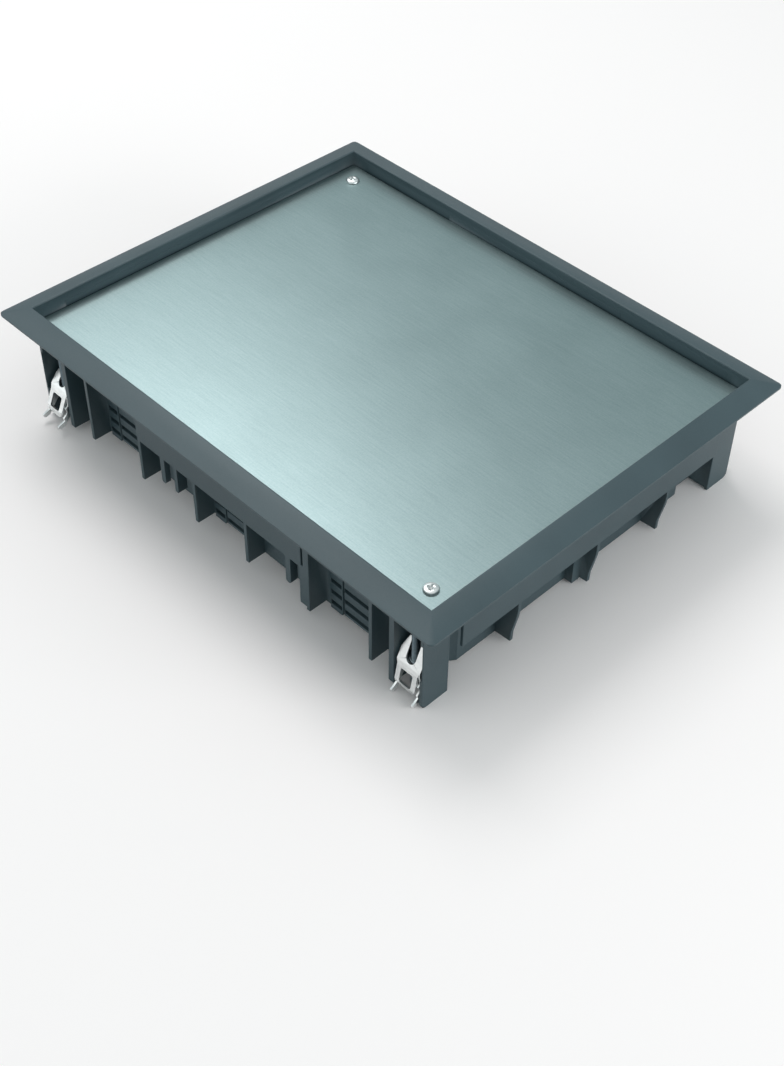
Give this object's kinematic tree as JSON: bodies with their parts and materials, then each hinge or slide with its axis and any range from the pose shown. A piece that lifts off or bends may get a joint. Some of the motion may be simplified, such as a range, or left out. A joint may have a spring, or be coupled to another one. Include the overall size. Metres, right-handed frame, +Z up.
{
  "type": "floor box cover",
  "caption": "Rectangular raised-floor box cover: a moulded frame with a sloped flange and ribbed tub, a steel cover plate in its recess and screw-drawn clamping claws in the corners.",
  "frame": {"origin": "centre of the footprint on the plane of the corner plates' lower edges, which the part stands on", "axes": "+X along the long side, +Y across to the rear long side, +Z up out of the cover plate"},
  "size_m": [0.323, 0.257, 0.0703],
  "materials": {
    "frame_plastic": "moulded glass-filled nylon, dark blue-grey, fine satin",
    "plate_steel": "zinc-coated rolled steel sheet, satin with a fine grain along the length",
    "claw_zinc": "bright zinc-plated pressed steel",
    "screw_zinc": "bright zinc-plated steel",
    "insert_brass": "turned brass"
  },
  "bodies": {
    "frame": {"frame": "frame_plastic", "cover_plate": "plate_steel", "cover_screw_front_right": "screw_zinc", "cover_screw_rear_left": "screw_zinc", "insert_front_right": "insert_brass", "insert_rear_left": "insert_brass", "claw_screw_front_left": "screw_zinc", "claw_screw_front_right": "screw_zinc", "claw_screw_rear_right": "screw_zinc", "claw_screw_rear_left": "screw_zinc"},
    "nut_front_left": {"barrel_nut_front_left": "claw_zinc"},
    "claw_front_left": {"claw_front_left": "claw_zinc"},
    "nut_front_right": {"barrel_nut_front_right": "claw_zinc"},
    "claw_front_right": {"claw_front_right": "claw_zinc"},
    "nut_rear_right": {"barrel_nut_rear_right": "claw_zinc"},
    "claw_rear_right": {"claw_rear_right": "claw_zinc"},
    "nut_rear_left": {"barrel_nut_rear_left": "claw_zinc"},
    "claw_rear_left": {"claw_rear_left": "claw_zinc"}
  },
  "joints": [
    {"name": "nut_lift_front_left", "type": "slide", "parent": "frame", "child": "nut_front_left", "axis": [0, 0, 1], "range_m": [0, 0.012]},
    {"name": "claw_tilt_front_left", "type": "hinge", "parent": "nut_front_left", "child": "claw_front_left", "pos_m": [-0.1355, -0.1113, 0.021], "axis": [-1, 0, 0], "range_deg": [-19, 3]},
    {"name": "nut_lift_front_right", "type": "slide", "parent": "frame", "child": "nut_front_right", "axis": [0, 0, 1], "range_m": [0, 0.012]},
    {"name": "claw_tilt_front_right", "type": "hinge", "parent": "nut_front_right", "child": "claw_front_right", "pos_m": [0.1355, -0.1113, 0.021], "axis": [-1, 0, 0], "range_deg": [-5, 17]},
    {"name": "nut_lift_rear_right", "type": "slide", "parent": "frame", "child": "nut_rear_right", "axis": [0, 0, 1], "range_m": [0, 0.012]},
    {"name": "claw_tilt_rear_right", "type": "hinge", "parent": "nut_rear_right", "child": "claw_rear_right", "pos_m": [0.1355, 0.1113, 0.021], "axis": [1, 0, 0], "range_deg": [-17, 5]},
    {"name": "nut_lift_rear_left", "type": "slide", "parent": "frame", "child": "nut_rear_left", "axis": [0, 0, 1], "range_m": [0, 0.012]},
    {"name": "claw_tilt_rear_left", "type": "hinge", "parent": "nut_rear_left", "child": "claw_rear_left", "pos_m": [-0.1355, 0.1113, 0.021], "axis": [1, 0, 0], "range_deg": [-13, 9]}
  ]
}
